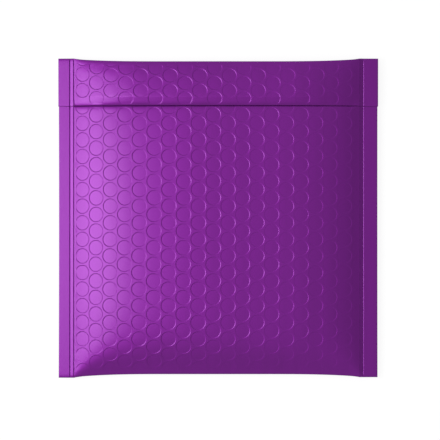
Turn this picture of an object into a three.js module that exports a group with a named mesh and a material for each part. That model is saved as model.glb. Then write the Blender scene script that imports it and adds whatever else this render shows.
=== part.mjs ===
// A padded mailing envelope, closed and lying on its back.
// It is one sheet of bubble-lined metallic film: folded up at the bottom, sealed flat along both
// sides, and folded over at the top, where the flap is stuck down on the front.
// Millimetres, +Z up. X runs across the width, and Y from the bottom fold to the top fold.
// The origin is under the middle of the envelope, on the surface that it rests on.
import * as THREE from "three";

// Overall size, closed, measured at the corners
const WIDTH = 220;
const HEIGHT = 220;

// Side seals: both halves of the sheet crushed and welded into one flat band
const SEAL_WIDTH = 11.4;
const SEAL_THICKNESS = 0.6;
const SEAL_DROOP = 0.5; // how much lower the cut edge hangs than the padding's edge
const TURN_UP_WIDTH = 2.8; // the strip next to the padding that the seal bar left turned up
const TURN_UP_RISE = 0.45;

// Padding, measured from the seals' faces: full heights, and heights at the folds
const FRONT_RISE = 14;
const BACK_DROP = 9.5;
const TOP_FOLD_HEIGHT = 4.5;
const BOTTOM_FOLD_HEIGHT = 0.4;
const BACK_FOLD_HEIGHT = 0.8;
const FOLD_RADIUS = 0.4;

// How far the padding takes to swell to its full height from each edge, and how steeply it starts
const FRONT_SIDE_POWER = 2; // the front goes on swelling to the middle of the width
const FRONT_BOTTOM_REACH = 76;
const FRONT_TOP_REACH = 90;
const FRONT_END_POWER = 2.2;
const BOTTOM_LIP = 2.5; // along the bottom fold, where the front hardly swells yet
const TOP_SOFT_RISE = 0.8; // a soft roll along the top fold
const TOP_SOFT_REACH = 10;
const BACK_SIDE_REACH = 45;
const BACK_END_REACH = 36;
const BACK_POWER = 2;

// How sharply the swellings from two edges meet
const HIP_SHARPNESS = 3;
const TOP_HIP_SHARPNESS = 1.35;

// Edges that the swelling draws in, in the middle of their length
const TOP_PULL = 2.1;
const BOTTOM_PULL = 2.7;
const PULL_REACH = 65; // from the padding's edge to where the fold is drawn in fully
const PULL_POWER = 3;
const SIDE_PULL = 0.5;

// Flap: its free edge stands off the front by a narrow gap, up to where it is stuck down
const FLAP_DEPTH = 33;
const FLAP_SEAL_THICKNESS = 0.4;
const FLAP_PAD_THICKNESS = 1.7;
const FLAP_THICKEN_REACH = 45; // from the padding's edge to where the flap is fully thick
const FLAP_GAP = 0.3;
const FLAP_LOOSE_DEPTH = 4;

// Mesh steps
const PAD_STEPS = 28; // across the padding
const FOLD_STEPS = 3; // round each fold
const SWELL_STEPS = 6; // from each fold to the level part of a panel
const SWELL_STEP_GROWTH = 1.5; // how much wider they grow on the way
const PANEL_STEPS = 6; // along the level part
const FLAP_STEPS = 3;

const halfWidth = WIDTH / 2;
const halfHeight = HEIGHT / 2;
const padHalf = halfWidth - SEAL_WIDTH;
const flapEdgeY = halfHeight - FLAP_DEPTH;
const stuckY = flapEdgeY + FLAP_LOOSE_DEPTH;

// From 0 at an edge to 1 at `reach`, and level from there on
const swell = (distance, reach, power) => 1 - Math.max(0, 1 - Math.max(0, distance) / reach) ** power;

// The same, but round at the edge: a quarter of an ellipse
const roll = (distance, reach) => Math.sqrt(swell(distance, reach, 2));

// The lowest of several heights, with a rounded hip where two of them meet
function lowest(sharpness, ...heights) {
  const sum = heights.reduce((total, height) => total + height ** -sharpness, 0);
  return sum ** (-1 / sharpness);
}

// How far x lies inside the padding's side edge
const inset = (x) => padHalf - Math.abs(x);

const topFoldY = (x) => halfHeight - TOP_PULL * swell(inset(x), PULL_REACH, PULL_POWER);
const bottomFoldY = (x) => -halfHeight + BOTTOM_PULL * swell(inset(x), PULL_REACH, PULL_POWER);

// The seals' cut edges are drawn in towards the middle of their height
const drawnIn = (x, y) => {
  const seal = swell(-inset(x) - TURN_UP_WIDTH, SEAL_WIDTH - TURN_UP_WIDTH, 1);
  return x - Math.sign(x) * seal * SIDE_PULL * (1 - (y / halfHeight) ** 2);
};

// Height of the padding at a distance from a fold: a low wall with a rounded top, then swelling
const fromFold = (distance, foldHeight, rise, reach, power) => {
  const wall = foldHeight - FOLD_RADIUS * (1 - roll(distance, FOLD_RADIUS));
  return wall + (rise - foldHeight) * swell(distance, reach, power);
};

// Height of the front over the seals' faces, without the flap
function frontHeight(x, y) {
  const fromTop = topFoldY(x) - y;
  const fromBottom = y - bottomFoldY(x);
  const turnUp = TURN_UP_RISE * swell(inset(x) + TURN_UP_WIDTH, TURN_UP_WIDTH, 1);
  const side = turnUp + FRONT_RISE * swell(inset(x), padHalf, FRONT_SIDE_POWER);
  const top = fromFold(fromTop, TOP_FOLD_HEIGHT, FRONT_RISE, FRONT_TOP_REACH, FRONT_END_POWER);
  const pastLip = fromBottom ** 2 / (fromBottom + BOTTOM_LIP);
  const bottom = fromFold(pastLip, BOTTOM_FOLD_HEIGHT, FRONT_RISE, FRONT_BOTTOM_REACH, FRONT_END_POWER);
  const soft = TOP_SOFT_RISE * (1 - roll(fromTop, TOP_SOFT_REACH)) * swell(inset(x), TOP_SOFT_REACH, 2);
  return lowest(HIP_SHARPNESS, lowest(TOP_HIP_SHARPNESS, side, top), bottom) - soft;
}

// Depth of the back under the seals' faces
function backDepth(x, y) {
  return lowest(
    HIP_SHARPNESS,
    BACK_DROP * swell(inset(x), BACK_SIDE_REACH, BACK_POWER),
    fromFold(y - bottomFoldY(x), BACK_FOLD_HEIGHT, BACK_DROP, BACK_END_REACH, BACK_POWER),
    fromFold(topFoldY(x) - y, BACK_FOLD_HEIGHT, BACK_DROP, BACK_END_REACH, BACK_POWER),
  );
}

// The padding's edges lie as high as the back is deep where it rests, and the seals droop from there
const sealZ = (x) => {
  const droop = SEAL_DROOP * swell(-inset(x), SEAL_WIDTH, 1);
  return backDepth(0, 0) + SEAL_THICKNESS / 2 - droop;
};
const frontZ = (x, y) => sealZ(x) + SEAL_THICKNESS / 2 + frontHeight(x, y);
const backZ = (x, y) => sealZ(x) - SEAL_THICKNESS / 2 - backDepth(x, y);

// The flap's outer face, a layer on the front that is thickest over the padding
function flapZ(x, y) {
  const pad = THREE.MathUtils.smoothstep(inset(x), 0, FLAP_THICKEN_REACH);
  return frontZ(x, y) + FLAP_GAP + THREE.MathUtils.lerp(FLAP_SEAL_THICKNESS, FLAP_PAD_THICKNESS, pad);
}

// Distances from a fold: close together round it, wider as the padding levels out to `reach`, and
// then even to `length`
function stepsFromFold(reach, length, panelSteps) {
  const round = Array.from({ length: FOLD_STEPS }, (_, i) => {
    return FOLD_RADIUS * (1 - Math.cos((i / FOLD_STEPS) * (Math.PI / 2)));
  });
  const swelling = Array.from({ length: SWELL_STEPS + 1 }, (_, i) => {
    return THREE.MathUtils.lerp(FOLD_RADIUS, reach, (i / SWELL_STEPS) ** SWELL_STEP_GROWTH);
  });
  const level = Array.from({ length: panelSteps }, (_, i) => {
    return THREE.MathUtils.lerp(reach, length, (i + 1) / panelSteps);
  });
  return [...round, ...swelling, ...level];
}

// One cross-section of the closed envelope: up the front, in under the flap's free edge, out again,
// up over the flap to the top fold, and down the back to the bottom fold
function section(x) {
  const top = topFoldY(x);
  const bottom = bottomFoldY(x);

  const front = stepsFromFold(FRONT_BOTTOM_REACH, flapEdgeY - bottom, PANEL_STEPS).map((step) => {
    const y = bottom + step;
    return new THREE.Vector3(drawnIn(x, y), y, frontZ(x, y));
  });
  const underFlap = [
    new THREE.Vector3(drawnIn(x, stuckY), stuckY, frontZ(x, stuckY)),
    new THREE.Vector3(drawnIn(x, stuckY), stuckY, frontZ(x, stuckY) + FLAP_GAP),
    new THREE.Vector3(x, flapEdgeY, frontZ(x, flapEdgeY) + FLAP_GAP),
  ];
  const flap = stepsFromFold(top - stuckY, top - flapEdgeY, FLAP_STEPS)
    .map((step) => new THREE.Vector3(x, top - step, flapZ(x, top - step)))
    .reverse();
  const backDown = stepsFromFold(BACK_END_REACH, top, PANEL_STEPS / 2).map((step) => top - step);
  const backUp = stepsFromFold(BACK_END_REACH, -bottom, PANEL_STEPS / 2).map((step) => bottom + step);
  const back = [...backDown, ...backUp.reverse().slice(1)].map((y) => {
    return new THREE.Vector3(drawnIn(x, y), y, backZ(x, y));
  });
  return [...front, ...underFlap, ...flap, ...back];
}

// A closed solid through cross-sections that run from -X to +X and have as many points each
function loft(sections) {
  const count = sections[0].length;
  const corner = (i, j) => i * count + (j % count);
  const triangles = [];
  for (let i = 0; i + 1 < sections.length; i += 1) {
    for (let j = 0; j < count; j += 1) {
      triangles.push(corner(i, j), corner(i + 1, j), corner(i + 1, j + 1));
      triangles.push(corner(i, j), corner(i + 1, j + 1), corner(i, j + 1));
    }
  }
  const lastRow = sections.length - 1;
  const outline = sections[0].map((point) => new THREE.Vector2(point.y, point.z));
  for (const [a, b, c] of THREE.ShapeUtils.triangulateShape(outline, [])) {
    triangles.push(corner(0, a), corner(0, c), corner(0, b));
    triangles.push(corner(lastRow, a), corner(lastRow, b), corner(lastRow, c));
  }
  const geometry = new THREE.BufferGeometry().setFromPoints(sections.flat());
  geometry.setIndex(triangles);
  geometry.computeVertexNormals();
  return geometry;
}

// Where the cross-sections stand: at each line of the seals, and closest at the padding's edges
const across = Array.from({ length: PAD_STEPS + 1 }, (_, i) => {
  return -padHalf * Math.cos((i / PAD_STEPS) * Math.PI);
});
const sealLines = [halfWidth, padHalf + TURN_UP_WIDTH];
const stations = [...sealLines.map((x) => -x), ...across, ...sealLines.toReversed()];

const film = new THREE.MeshStandardMaterial({ color: 0x76278a, roughness: 0.4, metalness: 0.8 });
const envelope = new THREE.Mesh(loft(stations.map(section)), film);
envelope.name = "padded_envelope";

const model = new THREE.Group();
model.name = "padded_envelope_closed";
model.add(envelope);

export default model;
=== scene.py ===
"""Looks of a closed padded envelope: bubble-lined metallic film, plumped up and lying on its back."""
import math

import bmesh
import bpy
import numpy as np
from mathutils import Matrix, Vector
from mathutils.geometry import delaunay_2d_cdt


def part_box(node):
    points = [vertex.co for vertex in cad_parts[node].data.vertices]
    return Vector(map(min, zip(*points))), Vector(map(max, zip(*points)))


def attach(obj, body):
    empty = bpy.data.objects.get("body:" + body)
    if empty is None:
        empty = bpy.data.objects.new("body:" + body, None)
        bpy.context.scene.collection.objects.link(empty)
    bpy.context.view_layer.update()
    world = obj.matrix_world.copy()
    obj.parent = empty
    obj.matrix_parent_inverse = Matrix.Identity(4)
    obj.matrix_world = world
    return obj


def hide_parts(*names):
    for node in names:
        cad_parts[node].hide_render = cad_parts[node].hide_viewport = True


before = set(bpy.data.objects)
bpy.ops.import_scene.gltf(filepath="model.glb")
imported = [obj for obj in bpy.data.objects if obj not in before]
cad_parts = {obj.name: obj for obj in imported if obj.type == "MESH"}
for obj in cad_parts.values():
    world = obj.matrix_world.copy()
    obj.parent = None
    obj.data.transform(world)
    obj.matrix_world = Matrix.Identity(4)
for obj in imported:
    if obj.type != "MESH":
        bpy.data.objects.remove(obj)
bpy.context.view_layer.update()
cad_low, cad_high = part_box("padded_envelope")

MM = 0.001
half_width = (cad_high[0] - cad_low[0]) / 2 / MM
half_height = (cad_high[1] - cad_low[1]) / 2 / MM

# Form of the envelope, in millimetres: the same sizes as the CAD part
SEAL_WIDTH = 11.4
SEAL_THICKNESS = 0.6
SEAL_DROOP = 0.5  # how much lower the cut edge hangs than the padding's edge
TURN_UP_WIDTH = 2.8  # the strip next to the padding that the seal bar left turned up
FRONT_RISE = 14
BACK_DROP = 9.5
TOP_FOLD_HEIGHT = 4.5
BOTTOM_FOLD_HEIGHT = 0.4
BACK_FOLD_HEIGHT = 0.8
FOLD_RADIUS = 0.4
FRONT_SIDE_POWER = 2
FRONT_BOTTOM_REACH = 76
FRONT_TOP_REACH = 90
FRONT_END_POWER = 2.2
BOTTOM_LIP = 2.5  # along the bottom fold, where the front hardly swells yet
TOP_SOFT_RISE = 0.8  # a soft roll along the top fold
TOP_SOFT_REACH = 10
BACK_SIDE_REACH = 45
BACK_END_REACH = 36
BACK_POWER = 2
HIP_SHARPNESS = 3  # how sharply the swellings from two edges meet
TOP_HIP_SHARPNESS = 1.35
TOP_PULL = 2.1  # how far the swelling draws the top fold in
PULL_REACH = 65
PULL_POWER = 3
FLAP_DEPTH = 33
FLAP_SEAL_THICKNESS = 0.4
FLAP_PAD_THICKNESS = 1.7
FLAP_THICKEN_REACH = 45
FLAP_GAP = 0.3
FLAP_LOOSE_DEPTH = 4

# Finer form of the padding, in millimetres: pairs with no other meaning are for the left and the right
PAD_SHIFT = -0.87  # the padding lies a little to the left of the middle
BOTTOM_PULL = 2.5  # how far the swelling draws the bottom fold in
BOTTOM_CORNER = (0, 0.4)  # how much higher the bottom fold's ends lie than the outline
QUICK_PULL = 0.17  # share of a fold's pull that is reached close to the padding's edge
QUICK_PULL_REACH = 7
PULL_FADE = 26  # from a fold to where the rows of bubbles no longer follow its pull
FOLD_BULGE = 0.1  # how far each fold stands out between its two panels
RIGHT_HIP = 2  # the swellings from the right and from the bottom meet more softly
RIGHT_HIP_REACH = (30, 90)  # places across the front between which that sets in
TOP_SOFT_SHARE = 0.75  # of the top fold's soft roll, in the middle
TOP_SOFT_LEAN = 0.6  # how much more and less of it there is at the left and the right

# Shallow waves across the front: height, and where each starts, peaks and ends
SAG = (-2.1, -30, 25, 62)
FULLNESS = (1.2, 45, 77, 102)
LEDGE = (0.25, 80, 97.39, 98)

# Finer form of the seals
INNER_SEAL = 4  # the part next to the padding that keeps its width when the padding is shifted
CUT_EDGE_ROUND = (0.35, 1.2)  # from the cut edge to where the seal is fully thick
CUT_EDGE_SHARE = 0.35  # of the seal's thickness, left at its cut edge
STRIP_RISE = (0.45, 0.8)  # how far the strip next to the padding is turned up
SIDE_PULL = (0.3, 0.1)  # how far the cut edges are drawn in
SEAL_ROUND = 0.4  # how far the folds are rounded down over the seals
SEAL_ROUND_REACH = 2.2
SEAL_ROUND_START = (-1, 1)  # distances outside the padding's edge between which that sets in

# Creases that the seal bar left on both sides of the turned-up strip: distances outside the padding's
# edge, and depths
OUTER_CREASE = (2.8, 2.46)
OUTER_CREASE_DEPTH = (0.28, 0.219)
INNER_CREASE = (0.1, 0.1)
INNER_CREASE_DEPTH = (0.28, 0)
CREASE_HALF_WIDTH = 0.34
CREASE_FADE = 1.5  # from each fold to where they are fully deep

# Finer form of the flap
FLAP_OVERHANG = (0.2, 0.35)  # how far its ends stand out past the seals' cut edges
FLAP_FOLD_RISE = 0.7  # how much thicker it grows towards its fold
EDGE_LIFT = 0.45  # how much higher its free edge lies over the padding than over the seals
EDGE_LIFT_START = (-0.5, 0.7)  # distances inside the padding's edge between which that sets in
EDGE_TIGHT = 0.25  # share of its fall to the free edge that is a tight roll after a bevel
EDGE_TIGHT_REACH = 3
EDGE_TIGHT_POWER = 2.2
EDGE_BEVEL_REACH = 6
EDGE_BEVEL_POWER = 1.02
EDGE_ROUND = 0.55  # the free edge is rounded off this far in, by this depth, to this thickness
EDGE_ROUND_DEPTH = 0.25
EDGE_THICKNESS = 0.15
EDGE_SET_BACK = 0.12  # how far the free edge's lower side is set back
EDGE_NOSE = 0.03  # how far the free edge stands out half way down
PRESS_DEPTH = 0.65  # how deep the free edge is pressed into the front
PRESS_REACH = 3.2
PRESS_START = -0.3  # distance inside the padding's edge where the pressing sets in
PRESS_FULL = (1.2, 6)  # and where it is full
PRESS_TIGHT = 0.5  # share of it that is close to the free edge
PRESS_TIGHT_REACH = 0.9

# Bubble lining, in millimetres
BUBBLE_DIAMETER = 10.1
BUBBLE_WALL = 0.46
BUBBLE_ROUND = 0.05  # of the wall, at its top and its foot
BUBBLE_GUARD = 0.1  # round the wall, where the film is already level
BUBBLE_DEPTH = 0.135
BUBBLE_DOME = 0.02
BUBBLE_VARIATION = 0.12  # how much deeper or shallower single bubbles are
BUBBLE_LEAN = 0.36  # how much deeper they are at the left side, and shallower at the right
BUBBLE_TILT = 0.75  # how much shallower a bubble is at its left than at its right, in the right half
BUBBLE_TILT_REACH = (-40, 30)  # places across the film between which that sets in
COLUMN_SPACING = 10.18
ROW_SPACING = 11.42
COLUMN_OFFSET = -2.35
ROW_OFFSET = 2.55
FLAP_ROW_SHIFT = -0.22
LINING_RISE = 14  # the bubbles close up towards the sides as on a slope of this height and power
LINING_POWER = 3.3

# How far columns lie off the even spacing, and between which places that sets in and runs out
RIGHT_SHIFT = (-0.69, (0, 36), (84, 97))
FLAP_SHIFT = (0.9, (-97, -55), (84, 97))
LEFT_SHIFT = (-0.4, (-97, -80), (-20, 10))
LEFT_SHIFT_LOW = (8, 30)  # distances from the bottom fold between which the left one sets in
LEFT_SHIFT_HIGH = (70, 130)  # and runs out

# Distances from an edge of the padding or the flap between which the bubbles set in
SIDE_FADE = (0.2, 1.4)
FOLD_FADE = (4, 8)
FLAP_FOLD_FADE = (2, 5)
FLAP_EDGE_FADE = (0.6, 2)
FOOT_SHARE = 0.55  # of the front's bubbles' depth, near the bottom fold
FOOT_FADE = (6, 34)  # distances from it between which they grow to their full depth

# Lines and rings of the mesh, in millimetres
CUT_EDGE_LINES = (0, 0.03, 0.1, 0.22, 0.35, 0.6, 1.2)  # distances from the cut edge
STRIP_LINES = (8.4, 6.2, INNER_SEAL, 1.6, 1, -0.7, -1.3)  # distances outside the padding's edge
CREASE_SHARES = (-1.3, -1, -0.5, 0, 0.5, 1, 1.3)  # of a crease's half width, from its middle
FOLD_STEPS = 7  # on the round beside each fold
FOLD_LINES = (0.9, 1.5, 2.4)  # distances from a fold
FOLD_SHARES = (0.1, 0.3, 0.5, 0.7, 0.9)  # of the way round a fold from one panel to the next
PRESS_LINES = (2.8, 1.8, 1, 0.5, 0.2, 0, -0.2, -EDGE_LIFT)  # distances below the flap's free edge
EDGE_STEPS = 8  # on the flap's tight roll
LOW_EDGE_STEPS = 5  # the lowest of them, which the bubbles' rings keep clear of
BEVEL_LINES = (-2.4, -0.3, -0.03, 0.03, 0.3)  # distances from the line where the flap's bevel starts
LINE_SPACING = 2.4
RING_MARGIN = 0.3  # between the bubbles' rings and the lines along a panel's edges
FRONT_POINTS = 24  # on each ring round a bubble's wall
BACK_POINTS = 16
DOME_RING = 0.55  # radius of a ring on a bubble's dome, as a share of the dome's
POINT_DIGITS = 4  # points that agree to as many decimals are one point
TOLERANCE = 1e-6  # of the triangulation
SHARP_ANGLE = math.radians(60)  # edges that turn more than this stay sharp

pad_half = half_width - SEAL_WIDTH
flap_edge_y = half_height - FLAP_DEPTH
stuck_y = flap_edge_y + FLAP_LOOSE_DEPTH


# Form of the envelope

def swell(distance, reach, power):
    """From 0 at an edge to 1 at reach, and level from there on."""
    return 1 - np.clip(1 - np.maximum(distance, 0) / reach, 0, None) ** power


def roll(distance, reach):
    """The same, but round at the edge: a quarter of an ellipse."""
    return np.sqrt(swell(distance, reach, 2))


def ramp(value, low, high):
    """A smooth step from 0 at low to 1 at high."""
    share = np.clip((value - low) / (high - low), 0, 1)
    return share * share * (3 - 2 * share)


def wave(x, height, start, peak, end):
    """A smooth wave, which rises from start to peak and falls to end."""
    return height * (ramp(x, start, peak) - ramp(x, peak, end))


def lowest(sharpness, *heights):
    """The lowest of several heights, with a rounded hip where two of them meet."""
    least = 1e-6
    total = sum(np.maximum(height, least) ** -sharpness for height in heights)
    return total ** (-1 / sharpness)


def inset(x):
    """How far x lies inside the padding's side edge."""
    return pad_half - np.abs(x - PAD_SHIFT)


def over_seal(x):
    """From 0 at the turned-up strip's outer side to 1 at the seal's full width."""
    return swell(-inset(x) - TURN_UP_WIDTH, SEAL_WIDTH - TURN_UP_WIDTH, 1)


def by_side(x, values):
    """The left or the right of two values."""
    left, right = values
    return np.where(x < PAD_SHIFT, left, right)


def blend(x, values):
    """From the left to the right of two values, across the middle."""
    left, right = values
    return left + (right - left) * ramp(x, -pad_half / 2, pad_half / 2)


def fold_pull(x):
    """How far a fold is drawn in at x, as a share of its full pull."""
    quick = swell(inset(x), QUICK_PULL_REACH, 2)
    return QUICK_PULL * quick + (1 - QUICK_PULL) * swell(inset(x), PULL_REACH, PULL_POWER)


def top_fold(x):
    """Where the top fold lies."""
    return half_height - TOP_PULL * fold_pull(x)


def bottom_fold(x):
    """Where the bottom fold lies."""
    corner = by_side(x, BOTTOM_CORNER)
    return -half_height + corner + (BOTTOM_PULL - corner) * fold_pull(x)


def free_edge(x):
    """Where the flap ends."""
    return flap_edge_y + EDGE_LIFT * ramp(inset(x), *EDGE_LIFT_START)


def drawn_in(x, y):
    """The seals' cut edges are drawn in towards the middle of their height."""
    return x - np.sign(x) * over_seal(x) * by_side(x, SIDE_PULL) * (1 - (y / half_height) ** 2)


def from_fold(distance, fold_height, rise, reach, power):
    """Height of the padding at a distance from a fold: a low wall with a rounded top, then swelling."""
    wall = fold_height - FOLD_RADIUS * (1 - roll(distance, FOLD_RADIUS))
    return wall + (rise - fold_height) * swell(distance, reach, power)


def seal_half(x):
    """Half the seal's thickness, which is rounded off at its cut edge."""
    to_edge = half_width - np.abs(x)
    rounded = roll(to_edge, by_side(x, CUT_EDGE_ROUND))
    return SEAL_THICKNESS / 2 * (CUT_EDGE_SHARE + (1 - CUT_EDGE_SHARE) * rounded)


def plain_height(x, y):
    """Height of the front over the seals' faces, without the flap and the creases."""
    to_top = top_fold(x) - y
    to_bottom = y - bottom_fold(x)
    turn_up = blend(x, STRIP_RISE) * swell(inset(x) + TURN_UP_WIDTH, TURN_UP_WIDTH, 1)
    waves = wave(x, *SAG) + wave(x, *FULLNESS) + wave(x, *LEDGE)
    side = turn_up + FRONT_RISE * swell(inset(x), pad_half, FRONT_SIDE_POWER) + waves
    top = from_fold(to_top, TOP_FOLD_HEIGHT, FRONT_RISE, FRONT_TOP_REACH, FRONT_END_POWER)
    past_lip = to_bottom ** 2 / (to_bottom + BOTTOM_LIP)
    bottom = from_fold(past_lip, BOTTOM_FOLD_HEIGHT, FRONT_RISE, FRONT_BOTTOM_REACH, FRONT_END_POWER)
    soft_share = TOP_SOFT_SHARE - TOP_SOFT_LEAN * x / pad_half
    over_pad = swell(inset(x), TOP_SOFT_REACH, 2)
    soft = TOP_SOFT_RISE * soft_share * (1 - roll(to_top, TOP_SOFT_REACH)) * over_pad
    hip = HIP_SHARPNESS + (RIGHT_HIP - HIP_SHARPNESS) * ramp(x, *RIGHT_HIP_REACH)
    return lowest(hip, lowest(TOP_HIP_SHARPNESS, side, top), bottom) - soft


def back_depth(x, y):
    """Depth of the back under the seals' faces."""
    return lowest(HIP_SHARPNESS,
                  BACK_DROP * swell(inset(x), BACK_SIDE_REACH, BACK_POWER),
                  from_fold(y - bottom_fold(x), BACK_FOLD_HEIGHT, BACK_DROP, BACK_END_REACH, BACK_POWER),
                  from_fold(top_fold(x) - y, BACK_FOLD_HEIGHT, BACK_DROP, BACK_END_REACH, BACK_POWER))


pad_edge_z = float(back_depth(0, 0)) + SEAL_THICKNESS / 2


def seal_z(x):
    """Middle of the seal's thickness, which droops from the padding's edge."""
    return pad_edge_z - SEAL_DROOP * swell(-inset(x), SEAL_WIDTH, 1)


def creases(x, y):
    """Depth of the grooves along the turned-up strip, which run out at the folds."""
    depth = 0
    for places, depths in ((OUTER_CREASE, OUTER_CREASE_DEPTH), (INNER_CREASE, INNER_CREASE_DEPTH)):
        groove = np.clip(1 - np.abs(inset(x) + by_side(x, places)) / CREASE_HALF_WIDTH, 0, None)
        depth = depth + by_side(x, depths) * groove
    return depth * roll(top_fold(x) - y, CREASE_FADE) * roll(y - bottom_fold(x), CREASE_FADE)


def seal_round(x, distance):
    """How far the seals are rounded down at a distance from a fold."""
    return SEAL_ROUND * (1 - roll(distance, SEAL_ROUND_REACH)) * ramp(-inset(x), *SEAL_ROUND_START)


def front_z(x, y):
    """The front, without the flap."""
    rounded = seal_round(x, y - bottom_fold(x))
    return seal_z(x) + seal_half(x) + plain_height(x, y) - creases(x, y) - rounded


def back_z(x, y):
    """The back."""
    return seal_z(x) - seal_half(x) - back_depth(x, y)


def press(x):
    """How deep the flap's free edge is pressed in, over the padding only."""
    return PRESS_DEPTH * ramp(inset(x), PRESS_START, by_side(x, PRESS_FULL))


def pressed_z(x, y):
    """The front with the flap's free edge pressed into it."""
    below = free_edge(x) - y
    tight = swell(below, PRESS_TIGHT_REACH, 2)
    out = PRESS_TIGHT * tight + (1 - PRESS_TIGHT) * swell(below, PRESS_REACH, 2)
    return front_z(x, y) - press(x) * (1 - out)


def flap_z(x, y):
    """The flap's outer face: a layer on the front that falls to its free edge."""
    pad = ramp(inset(x), 0, FLAP_THICKEN_REACH)
    thicker = (FLAP_PAD_THICKNESS - FLAP_SEAL_THICKNESS) * pad
    from_edge = y - free_edge(x)
    tight = swell(from_edge, EDGE_TIGHT_REACH, EDGE_TIGHT_POWER)
    bevel = swell(from_edge, EDGE_BEVEL_REACH, EDGE_BEVEL_POWER)
    edge = EDGE_TIGHT * tight + (1 - EDGE_TIGHT) * bevel
    seal = FLAP_GAP + EDGE_THICKNESS + EDGE_ROUND_DEPTH * roll(from_edge, EDGE_ROUND)
    fold = FLAP_FOLD_RISE * from_edge / FLAP_DEPTH
    layer = seal + fold + thicker - (thicker + press(x)) * (1 - edge)
    return front_z(x, y) + layer - seal_round(x, top_fold(x) - y)


# Sheet coordinates: distances along the film, so that the bubbles keep their size on it

class Profile:
    """Distances along a curved profile against plan distances from where it starts."""

    def __init__(self, rise, length, steps=6000):
        self.plan = np.linspace(0, length, steps)
        step = np.hypot(np.diff(self.plan), np.diff(rise(self.plan)))
        self.along = np.concatenate(([0], np.cumsum(step)))
        self.length = self.along[-1]

    def to_plan(self, along):
        return np.interp(along, self.along, self.plan)

    def to_along(self, plan):
        return np.interp(plan, self.plan, self.along)


# Profiles from the padding's middle to its side, and along the panels half way between the two
typical_x = PAD_SHIFT + pad_half / 2
typical_bottom = bottom_fold(typical_x)
typical_top = top_fold(typical_x)
side_profile = Profile(lambda d: -LINING_RISE * (d / pad_half) ** LINING_POWER, pad_half)
front_profile = Profile(lambda d: plain_height(typical_x, typical_bottom + d), stuck_y + half_height)
flap_profile = Profile(lambda d: plain_height(typical_x, typical_top - d), FLAP_DEPTH)
back_profile = Profile(lambda d: back_depth(typical_x, typical_top - d), half_height)  # its upper half
pad_u = side_profile.length
back_length = 2 * back_profile.length


def column_shift(u, shift, start, end):
    """How far a column at u lies off the even spacing."""
    return shift * (ramp(u, *start) - ramp(u, *end))


def x_from_u(u):
    """Across the film: u runs along it from the padding's middle, and evenly over each seal's outer part."""
    over = np.maximum(np.abs(u) - pad_u, 0)
    outer = SEAL_WIDTH - INNER_SEAL
    stretch = (outer - np.sign(u) * PAD_SHIFT) / outer
    over = np.minimum(over, INNER_SEAL) + np.maximum(over - INNER_SEAL, 0) * stretch
    from_middle = side_profile.to_plan(np.minimum(np.abs(u), pad_u)) + over
    return PAD_SHIFT + np.sign(u) * from_middle + column_shift(u, *RIGHT_SHIFT)


def front_point(u, v):
    """A place on the front, where v runs up from the bottom fold."""
    leaning = ramp(v, *LEFT_SHIFT_LOW) - ramp(v, *LEFT_SHIFT_HIGH)
    x = x_from_u(u) + column_shift(u, *LEFT_SHIFT) * leaning
    plan = front_profile.to_plan(v)
    shift = (bottom_fold(x) + half_height) * (1 - ramp(plan, 0, PULL_FADE))
    y = -half_height + plan + shift
    return np.stack((drawn_in(x, y), y, pressed_z(x, y)), axis=1)


def flap_point(u, v):
    """A place on the flap, where v runs up from its free edge."""
    x = x_from_u(u) + column_shift(u, *FLAP_SHIFT)
    plan = flap_profile.to_plan(flap_profile.length - v)
    top_shift = (half_height - top_fold(x)) * (1 - plan / FLAP_DEPTH)
    edge_shift = (free_edge(x) - flap_edge_y) * plan / FLAP_DEPTH
    y = half_height - plan - top_shift + edge_shift
    overhang = by_side(x, FLAP_OVERHANG) * over_seal(x)
    return np.stack((x + np.sign(x) * overhang, y, flap_z(x, y)), axis=1)


def back_point(u, v):
    """A place on the back, where v runs down from the top fold."""
    x = x_from_u(u)
    from_top = back_profile.to_plan(np.minimum(v, back_profile.length))
    from_bottom = back_profile.to_plan(np.minimum(back_length - v, back_profile.length))
    top_shift = (half_height - top_fold(x)) * (1 - ramp(from_top, 0, PULL_FADE))
    bottom_shift = (bottom_fold(x) + half_height) * (1 - ramp(from_bottom, 0, PULL_FADE))
    upper_y = half_height - from_top - top_shift
    lower_y = -half_height + from_bottom + bottom_shift
    y = np.where(v < back_profile.length, upper_y, lower_y)
    return np.stack((drawn_in(x, y), y, back_z(x, y)), axis=1)


# Bubble relief: each bubble is a disc let into the film, with a short wall round a low dome

wall_out = (BUBBLE_DIAMETER + BUBBLE_WALL) / 2
wall_in = (BUBBLE_DIAMETER - BUBBLE_WALL) / 2

# Factors of a common hash by sine
HASH_COLUMN = 12.9898
HASH_ROW = 78.233
HASH_SCALE = 43758.5453


def share_of(column, row):
    """A bubble's own share, from 0 to 1 and as good as random, of what varies between bubbles."""
    return np.mod(np.sin(column * HASH_COLUMN + row * HASH_ROW) * HASH_SCALE, 1)


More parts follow.
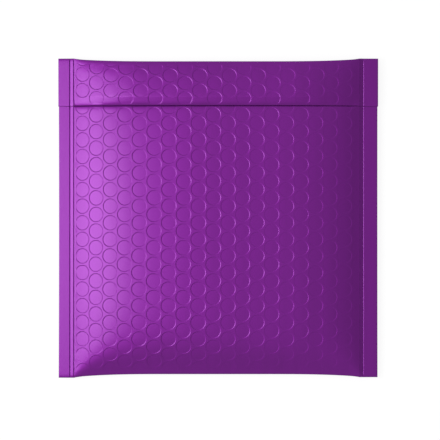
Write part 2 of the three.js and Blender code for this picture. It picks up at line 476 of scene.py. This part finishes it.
def relief(u, v, offset):
    """How far the film is moved out at (u, v), which is less than 0 where a bubble is let into it."""
    u_offset, v_offset = offset
    column = np.round((u - u_offset) / COLUMN_SPACING)
    nearest = np.full(u.shape, np.inf)
    depth = np.zeros(u.shape)
    for step in (-1, 0, 1):
        centre_u = u_offset + (column + step) * COLUMN_SPACING
        stagger = np.mod(column + step, 2) * ROW_SPACING / 2
        row = np.round((v - v_offset - stagger) / ROW_SPACING)
        centre_v = v_offset + stagger + row * ROW_SPACING
        distance = np.hypot(u - centre_u, v - centre_v)
        variation = 1 + BUBBLE_VARIATION * (2 * share_of(column + step, row) - 1)
        tilt = 1 - BUBBLE_TILT * ramp(u, *BUBBLE_TILT_REACH) * (1 - (u - centre_u) / wall_in) / 2
        whole = centre_v > 0  # a bubble that the panel's first edge cuts past its middle has no wall
        depth = np.where(distance < nearest, BUBBLE_DEPTH * variation * tilt * whole, depth)
        nearest = np.minimum(nearest, distance)
    wall = np.clip((nearest - wall_in) / BUBBLE_WALL, 0, 1) - 1
    dome = BUBBLE_DOME * np.clip(1 - (nearest / wall_in) ** 2, 0, None)
    return depth * wall + dome


def side_fade(u):
    """Share of the relief at u: none at the padding's sides, and more on the left than on the right."""
    return ramp(pad_u - np.abs(u), *SIDE_FADE) * (1 - BUBBLE_LEAN * u / pad_u)


def front_fade(u, v):
    """Share of the relief on the front."""
    foot = FOOT_SHARE + (1 - FOOT_SHARE) * ramp(v, *FOOT_FADE)
    return side_fade(u) * ramp(v, *FOLD_FADE) * foot


def flap_fade(u, v):
    """Share of the relief on the flap."""
    return side_fade(u) * ramp(v, *FLAP_EDGE_FADE) * ramp(flap_profile.length - v, *FLAP_FOLD_FADE)


def back_fade(u, v):
    """Share of the relief on the back."""
    return side_fade(u) * ramp(v, *FOLD_FADE) * ramp(back_length - v, *FOLD_FADE)


def with_relief(surface, uv, v_range, offset, fade):
    """Points of a panel, moved in along the film's normal where the bubbles are let into it."""
    u, v = uv[:, 0], uv[:, 1]
    nudge = 0.02
    low_v, high_v = np.maximum(v - nudge, 0), np.minimum(v + nudge, v_range)
    along_u = surface(u + nudge, v) - surface(u - nudge, v)
    along_v = surface(u, high_v) - surface(u, low_v)
    normal = np.cross(along_u, along_v)
    normal /= np.linalg.norm(normal, axis=1)[:, None]
    return surface(u, v) + normal * (relief(u, v, offset) * fade(u, v))[:, None]


# Lines and rings in sheet coordinates

def fold_steps(reach, steps):
    """Plan distances from a fold, closest where it is round."""
    angles = np.radians(np.linspace(0, 90, steps))
    return reach * (1 - np.cos(angles))


def spread(low, high):
    """Evenly spaced values between low and high, without the ends."""
    count = max(2, round((high - low) / LINE_SPACING))
    return list(np.linspace(low, high, count + 1)[1:-1])


def seal_lines():
    """Distances outside the padding's edge of the lines along each seal, from its cut edge inwards."""
    cut_edge = [SEAL_WIDTH - d for d in CUT_EDGE_LINES]
    along_creases = [round(place + share * CREASE_HALF_WIDTH, 3)
                     for place in (*OUTER_CREASE, *INNER_CREASE) for share in CREASE_SHARES]
    return sorted({*cut_edge, *STRIP_LINES, *along_creases}, reverse=True)


lines_u = [pad_u + s if s > 0 else float(side_profile.to_along(pad_half + s)) for s in seal_lines()]
all_u = [*(-u for u in lines_u), *spread(-lines_u[-1], lines_u[-1]), *reversed(lines_u)]
fold_lines = [*fold_steps(FOLD_RADIUS, FOLD_STEPS), *FOLD_LINES]

# Radii of each bubble's rings, and the points on each
wall_radii = (wall_out + BUBBLE_GUARD, wall_out, wall_out - BUBBLE_ROUND,
              wall_in + BUBBLE_ROUND, wall_in, wall_in - BUBBLE_GUARD)
front_rings = [*((radius, FRONT_POINTS) for radius in wall_radii),
               (wall_in * DOME_RING, FRONT_POINTS // 2), (0, 1)]
back_rings = [(wall_out, BACK_POINTS), (wall_in, BACK_POINTS),
              (wall_in * DOME_RING, BACK_POINTS // 2), (0, 1)]


def lattice(u_half, v_low, v_high, offset):
    """Centres of the bubbles that reach into a panel."""
    u_offset, v_offset = offset
    first = math.floor((-u_half - wall_out - u_offset) / COLUMN_SPACING)
    last = math.ceil((u_half + wall_out - u_offset) / COLUMN_SPACING)
    for column in range(first, last + 1):
        stagger = column % 2 * ROW_SPACING / 2
        low_row = math.floor((v_low - wall_out - v_offset - stagger) / ROW_SPACING)
        high_row = math.ceil((v_high + wall_out - v_offset - stagger) / ROW_SPACING)
        for row in range(low_row, high_row + 1):
            yield u_offset + column * COLUMN_SPACING, v_offset + stagger + row * ROW_SPACING


# Panels of the film

class Panel:
    """A rectangle of film: lines along its seals and folds, bubble rings between, all triangulated."""

    def __init__(self, low_v, between_v, across_v, high_v, offset, ring_sizes):
        self.points = []
        self.edges = []
        self.found = {}
        all_v = sorted([*low_v, *between_v, *across_v, *high_v])
        self.borders = {"low": [self.add(u, low_v[0]) for u in all_u],
                        "high": [self.add(u, high_v[-1]) for u in all_u]}
        for v in (*low_v, *high_v, *across_v):
            self.line([(u, v) for u in all_u])
        for u in (*(-u for u in lines_u), *lines_u):
            self.line([(u, v) for v in all_v])
        self.borders["left"] = [self.add(all_u[0], v) for v in all_v]
        self.borders["right"] = [self.add(all_u[-1], v) for v in all_v]
        self.rings(lines_u[-1], low_v[-1], high_v[0], offset, ring_sizes)
        self.triangulate()

    def add(self, u, v):
        """The number of a point, which is new unless it was there already."""
        key = (round(u, POINT_DIGITS), round(v, POINT_DIGITS))
        if key not in self.found:
            self.found[key] = len(self.points)
            self.points.append((u, v))
        return self.found[key]

    def line(self, places):
        """Edges along a line of places."""
        ends = [self.add(u, v) for u, v in places]
        self.edges.extend(zip(ends, ends[1:]))

    def rings(self, u_half, v_low, v_high, offset, ring_sizes):
        """Edges round every bubble, as far as they lie clear of the panel's lines."""
        for centre_u, centre_v in lattice(u_half, v_low, v_high, offset):
            for radius, count in ring_sizes:
                ring = []
                for i in range(count):
                    angle = 2 * math.pi * i / count
                    u = centre_u + radius * math.cos(angle)
                    v = centre_v + radius * math.sin(angle)
                    inside_u = abs(u) < u_half - RING_MARGIN
                    inside_v = v_low + RING_MARGIN < v < v_high - RING_MARGIN
                    ring.append(self.add(u, v) if inside_u and inside_v else None)
                pairs = zip(ring, ring[1:] + ring[:1])
                self.edges.extend((a, b) for a, b in pairs if None not in (a, b) and a != b)

    def triangulate(self):
        """Sets the final points and faces, and renumbers the borders to match."""
        places = [Vector(point) for point in self.points]
        made = delaunay_2d_cdt(places, self.edges, [], 0, TOLERANCE, True)
        coordinates, _, faces, sources = made[:4]
        first_of = {}
        for place, source in enumerate(sources):
            for original in source:
                first_of[original] = place
        self.borders = {name: [first_of[i] for i in border] for name, border in self.borders.items()}
        self.uv = np.array([(c.x, c.y) for c in coordinates])
        self.faces = faces


def front_panel():
    """The front and its points, with lines across it where the flap's free edge is pressed in."""
    low = list(front_profile.to_along(fold_lines))
    high = [front_profile.length]
    press_plan = [flap_edge_y + half_height - below for below in PRESS_LINES]
    across = list(front_profile.to_along(press_plan))
    offset = (COLUMN_OFFSET, ROW_OFFSET + half_height + front_profile.length - front_profile.plan[-1])
    panel = Panel(low, spread(low[-1], high[0]), across, high, offset, front_rings)
    return panel, with_relief(front_point, panel.uv, front_profile.length, offset, front_fade)


def flap_panel():
    """The flap and its points, with lines along its rolled edge and its bevel."""
    roll_lines = fold_steps(EDGE_TIGHT_REACH, EDGE_STEPS)
    low = list(roll_lines[:LOW_EDGE_STEPS])
    across = [*roll_lines[LOW_EDGE_STEPS:], *(EDGE_BEVEL_REACH + d for d in BEVEL_LINES)]
    high = [flap_profile.length - d for d in reversed(flap_profile.to_along(fold_lines))]
    offset = (COLUMN_OFFSET, ROW_OFFSET - flap_edge_y + FLAP_ROW_SHIFT)
    panel = Panel(low, spread(across[-1], high[0]), across, high, offset, front_rings)
    return panel, with_relief(flap_point, panel.uv, flap_profile.length, offset, flap_fade)


def back_panel():
    """The back and its points."""
    low = list(back_profile.to_along(fold_lines))
    high = [back_length - d for d in reversed(low)]
    offset = (COLUMN_OFFSET, back_profile.length)
    panel = Panel(low, spread(low[-1], high[0]), [], high, offset, back_rings)
    return panel, with_relief(back_point, panel.uv, back_length, offset, back_fade)


# The closed envelope

class Film:
    """A mesh of panels that are joined along their borders."""

    def __init__(self):
        self.mesh = bmesh.new()

    def add_panel(self, panel, places):
        """Adds a panel, and gives its borders as rows of points."""
        verts = [self.mesh.verts.new(place * MM) for place in places]
        for corners in panel.faces:
            self.mesh.faces.new([verts[c] for c in corners])
        return {name: [verts[i] for i in border] for name, border in panel.borders.items()}

    def strip(self, rows):
        """Faces between rows of as many points each."""
        for low_row, high_row in zip(rows, rows[1:]):
            for a, b, c, d in zip(low_row, low_row[1:], high_row[1:], high_row):
                self.mesh.faces.new((a, b, c, d))

    def shifted(self, row, y, z):
        """A copy of a row of points, moved."""
        return [self.mesh.verts.new(vert.co + Vector((0, y, z)) * MM) for vert in row]

    def fold(self, row, next_row, out):
        """Joins two panels' borders round a fold, and gives the rows of points between them."""
        rows = [row]
        for share in FOLD_SHARES:
            bulge = Vector((0, out * FOLD_BULGE * math.sin(math.pi * share), 0)) * MM
            places = [a.co.lerp(b.co, share) + bulge for a, b in zip(row, next_row)]
            rows.append([self.mesh.verts.new(place) for place in places])
        self.strip([*rows, next_row])
        return rows[1:]

    def end_face(self, end, *corners):
        """A face of a cut edge, turned outwards. An end is 0 at the left and -1 at the right."""
        self.mesh.faces.new(corners if end == 0 else corners[::-1])

    def between(self, end, upper, lower):
        """Triangles between two lines of points that both run up from the bottom fold."""
        i, j = 0, 0
        while i + 1 < len(upper) or j + 1 < len(lower):
            lower_done = j + 1 == len(lower)
            if lower_done or (i + 1 < len(upper) and upper[i + 1].co.y <= lower[j + 1].co.y):
                self.end_face(end, upper[i], upper[i + 1], lower[j])
                i += 1
            else:
                self.end_face(end, upper[i], lower[j + 1], lower[j])
                j += 1

    def fan(self, end, centre, line):
        """Triangles from one point to a line of points."""
        for a, b in zip(line, line[1:]):
            self.end_face(end, centre, a, b)

    def to_object(self, name):
        """The finished object, in triangles."""
        data = bpy.data.meshes.new(name)
        bmesh.ops.triangulate(self.mesh, faces=[face for face in self.mesh.faces if len(face.verts) > 3])
        self.mesh.to_mesh(data)
        self.mesh.free()
        data.shade_smooth()
        data.set_sharp_from_angle(angle=SHARP_ANGLE)
        made = bpy.data.objects.new(name, data)
        bpy.context.collection.objects.link(made)
        return made


def build_envelope():
    """The front, the flap and the back, joined at the folds, under the flap and at the cut edges."""
    film = Film()
    front = film.add_panel(*front_panel())
    flap = film.add_panel(*flap_panel())
    back = film.add_panel(*back_panel())

    roof = film.shifted(front["high"], 0, FLAP_GAP)
    under = film.shifted(flap["low"], EDGE_SET_BACK, -EDGE_THICKNESS)
    nose = film.shifted(flap["low"], -EDGE_NOSE, -EDGE_THICKNESS / 2)
    film.strip([front["high"], roof, under, nose, flap["low"]])
    top_rows = film.fold(flap["high"], back["low"], 1)
    bottom_rows = film.fold(back["high"], front["low"], -1)

    for end, border in ((0, "left"), (-1, "right")):
        front_side, flap_side, back_side = front[border], flap[border], back[border]
        stuck = next(i for i, vert in enumerate(flap_side) if vert.co.y > front_side[-1].co.y)
        film.between(end, front_side + [roof[end]] + flap_side[stuck:], back_side[::-1])
        film.between(end, [nose[end]] + flap_side[:stuck + 1], [under[end], roof[end]])
        film.fan(end, flap_side[-1], [row[end] for row in top_rows] + [back_side[0]])
        film.fan(end, back_side[-1], [row[end] for row in bottom_rows] + [front_side[0]])
    return film.to_object("padded_envelope_film")


FILM_DARK = (0.169, 0.0033, 0.236, 1)
FILM_LIGHT = (0.194, 0.0039, 0.272, 1)
LOW_ROUGHNESS = 0.43
HIGH_ROUGHNESS = 0.498
COAT_WEIGHT = 0.544
COAT_ROUGHNESS = 0.281
STREAKS = (170, 9, 170)  # a metre holds this many across the envelope, along it and through it
STREAK_DETAIL = 3
GRAIN = (1500, 1500, 1500)
GRAIN_DETAIL = 1
GRAIN_DEPTH = 0.000012  # metres


def film_material():
    """Satin metallic film: faint streaks of colour along it, a fine grain and a slightly uneven gloss."""
    material = bpy.data.materials.new("metallic_film")
    material.use_nodes = True
    nodes = material.node_tree.nodes
    links = material.node_tree.links
    shader = nodes["Principled BSDF"]
    place = nodes.new("ShaderNodeTexCoord")

    def noise(scale, detail):
        mapping = nodes.new("ShaderNodeMapping")
        mapping.inputs["Scale"].default_value = scale
        links.new(place.outputs["Object"], mapping.inputs["Vector"])
        texture = nodes.new("ShaderNodeTexNoise")
        texture.inputs["Scale"].default_value = 1
        texture.inputs["Detail"].default_value = detail
        links.new(mapping.outputs["Vector"], texture.inputs["Vector"])
        return texture.outputs["Fac"]

    streaks = noise(STREAKS, STREAK_DETAIL)
    grain = noise(GRAIN, GRAIN_DETAIL)
    colour = nodes.new("ShaderNodeMix")
    colour.data_type = "RGBA"
    colour.inputs["A"].default_value = FILM_DARK
    colour.inputs["B"].default_value = FILM_LIGHT
    links.new(streaks, colour.inputs["Factor"])
    links.new(colour.outputs["Result"], shader.inputs["Base Color"])
    gloss = nodes.new("ShaderNodeMapRange")
    gloss.inputs["To Min"].default_value = LOW_ROUGHNESS
    gloss.inputs["To Max"].default_value = HIGH_ROUGHNESS
    links.new(streaks, gloss.inputs["Value"])
    links.new(gloss.outputs["Result"], shader.inputs["Roughness"])
    bump = nodes.new("ShaderNodeBump")
    bump.inputs["Strength"].default_value = 1
    bump.inputs["Distance"].default_value = GRAIN_DEPTH
    links.new(grain, bump.inputs["Height"])
    links.new(bump.outputs["Normal"], shader.inputs["Normal"])
    shader.inputs["Metallic"].default_value = 1
    shader.inputs["Coat Weight"].default_value = COAT_WEIGHT
    shader.inputs["Coat Roughness"].default_value = COAT_ROUGHNESS
    return material


envelope = build_envelope()
envelope.data.materials.append(film_material())
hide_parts("padded_envelope")
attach(envelope, "root")


# Floor, light and camera, in metres

FLOOR_HALF = 4
FLOOR_GLOW = 0.88  # the light that it gives off where it is seen
FLOOR_SEEN = 0.15  # its colour there, for the light that falls on it and shows the shadow
FLOOR_COLOUR = 0.8  # its colour where it only gives light back


def floor_material():
    """A pale floor: white with a faint shadow where it is seen, and plain where it only gives light back."""
    material = bpy.data.materials.new("floor")
    material.use_nodes = True
    nodes = material.node_tree.nodes
    links = material.node_tree.links
    nodes.remove(nodes["Principled BSDF"])
    plain = nodes.new("ShaderNodeBsdfDiffuse")
    plain.inputs["Color"].default_value = (FLOOR_COLOUR, FLOOR_COLOUR, FLOOR_COLOUR, 1)
    glow = nodes.new("ShaderNodeEmission")
    glow.inputs["Strength"].default_value = FLOOR_GLOW
    shadowed = nodes.new("ShaderNodeBsdfDiffuse")
    shadowed.inputs["Color"].default_value = (FLOOR_SEEN, FLOOR_SEEN, FLOOR_SEEN, 1)
    seen = nodes.new("ShaderNodeAddShader")
    links.new(glow.outputs[0], seen.inputs[0])
    links.new(shadowed.outputs[0], seen.inputs[1])
    path = nodes.new("ShaderNodeLightPath")
    mirrored = nodes.new("ShaderNodeMath")
    mirrored.operation = "MAXIMUM"
    links.new(path.outputs["Is Glossy Ray"], mirrored.inputs[0])
    links.new(path.outputs["Is Transmission Ray"], mirrored.inputs[1])
    direct = nodes.new("ShaderNodeMath")
    direct.operation = "MAXIMUM"
    links.new(path.outputs["Is Camera Ray"], direct.inputs[0])
    links.new(mirrored.outputs[0], direct.inputs[1])
    mix = nodes.new("ShaderNodeMixShader")
    links.new(direct.outputs[0], mix.inputs["Fac"])
    links.new(plain.outputs[0], mix.inputs[1])
    links.new(seen.outputs[0], mix.inputs[2])
    links.new(mix.outputs[0], nodes["Material Output"].inputs["Surface"])
    return material


floor_corners = [(-FLOOR_HALF, -FLOOR_HALF, 0), (FLOOR_HALF, -FLOOR_HALF, 0),
                 (FLOOR_HALF, FLOOR_HALF, 0), (-FLOOR_HALF, FLOOR_HALF, 0)]
floor_mesh = bpy.data.meshes.new("floor")
floor_mesh.from_pydata(floor_corners, [], [(0, 1, 2, 3)])
floor = bpy.data.objects.new("floor", floor_mesh)
bpy.context.collection.objects.link(floor)
floor.data.materials.append(floor_material())

ROOM_LEVEL = 0.685
ROOM_LEAN = (-0.505, 0.103, 0)  # the room is brighter to the left and, a little, behind
HORIZON_LOW = 0.06  # it is white up to here, and goes over to its own level up to the next
HORIZON_HIGH = 0.15


def studio_world():
    """A soft room: its walls and ceiling light the object, and it is white at the horizon."""
    world = bpy.data.worlds.new("studio")
    world.use_nodes = True
    nodes = world.node_tree.nodes
    links = world.node_tree.links
    place = nodes.new("ShaderNodeTexCoord")
    lean = nodes.new("ShaderNodeVectorMath")
    lean.operation = "DOT_PRODUCT"
    lean.inputs[1].default_value = ROOM_LEAN
    links.new(place.outputs["Generated"], lean.inputs[0])
    level = nodes.new("ShaderNodeMath")
    level.operation = "MULTIPLY_ADD"
    level.inputs[1].default_value = ROOM_LEVEL
    level.inputs[2].default_value = ROOM_LEVEL
    links.new(lean.outputs["Value"], level.inputs[0])
    split = nodes.new("ShaderNodeSeparateXYZ")
    links.new(place.outputs["Generated"], split.inputs[0])
    height = nodes.new("ShaderNodeMapRange")
    height.inputs["From Min"].default_value = HORIZON_LOW
    height.inputs["From Max"].default_value = HORIZON_HIGH
    links.new(split.outputs["Z"], height.inputs["Value"])
    strength = nodes.new("ShaderNodeMix")
    strength.inputs["A"].default_value = 1
    links.new(height.outputs["Result"], strength.inputs["Factor"])
    links.new(level.outputs["Value"], strength.inputs["B"])
    background = nodes["Background"]
    background.inputs["Color"].default_value = (1, 1, 1, 1)
    links.new(strength.outputs["Result"], background.inputs["Strength"])
    return world


bpy.context.scene.world = studio_world()

KEY_LEAN = math.radians(28.8)  # from overhead towards the left
KEY_DISTANCE = 0.9
KEY_WIDTH = 0.336
KEY_LENGTH = 0.422
KEY_POWER = 3
lamp_data = bpy.data.lights.new("key", "AREA")
lamp_data.shape = "RECTANGLE"
lamp_data.size = KEY_WIDTH
lamp_data.size_y = KEY_LENGTH
lamp_data.energy = KEY_POWER
lamp = bpy.data.objects.new("key", lamp_data)
lamp.location = (-KEY_DISTANCE * math.sin(KEY_LEAN), 0, KEY_DISTANCE * math.cos(KEY_LEAN))
lamp.rotation_euler = (-lamp.location).to_track_quat("-Z", "Y").to_euler()
bpy.context.collection.objects.link(lamp)

LENS = 200
IMAGE_SIZE = 440  # pixels of the photograph, across and down
PIXEL = 0.6899  # millimetres on the envelope
ORIGIN_COLUMN = 217.6  # where the envelope's middle lies in the photograph
ORIGIN_ROW = 217.7
camera_data = bpy.data.cameras.new("camera")
camera_data.lens = LENS
camera = bpy.data.objects.new("camera", camera_data)
image_middle = (IMAGE_SIZE - 1) / 2
frame_width = IMAGE_SIZE * PIXEL * MM
distance = frame_width / 2 / (camera_data.sensor_width / 2 / camera_data.lens)
camera.location = ((image_middle - ORIGIN_COLUMN) * PIXEL * MM,
                   (ORIGIN_ROW - image_middle) * PIXEL * MM,
                   pad_edge_z * MM + distance)
bpy.context.collection.objects.link(camera)
bpy.context.scene.camera = camera
bpy.context.scene.view_settings.view_transform = "Standard"
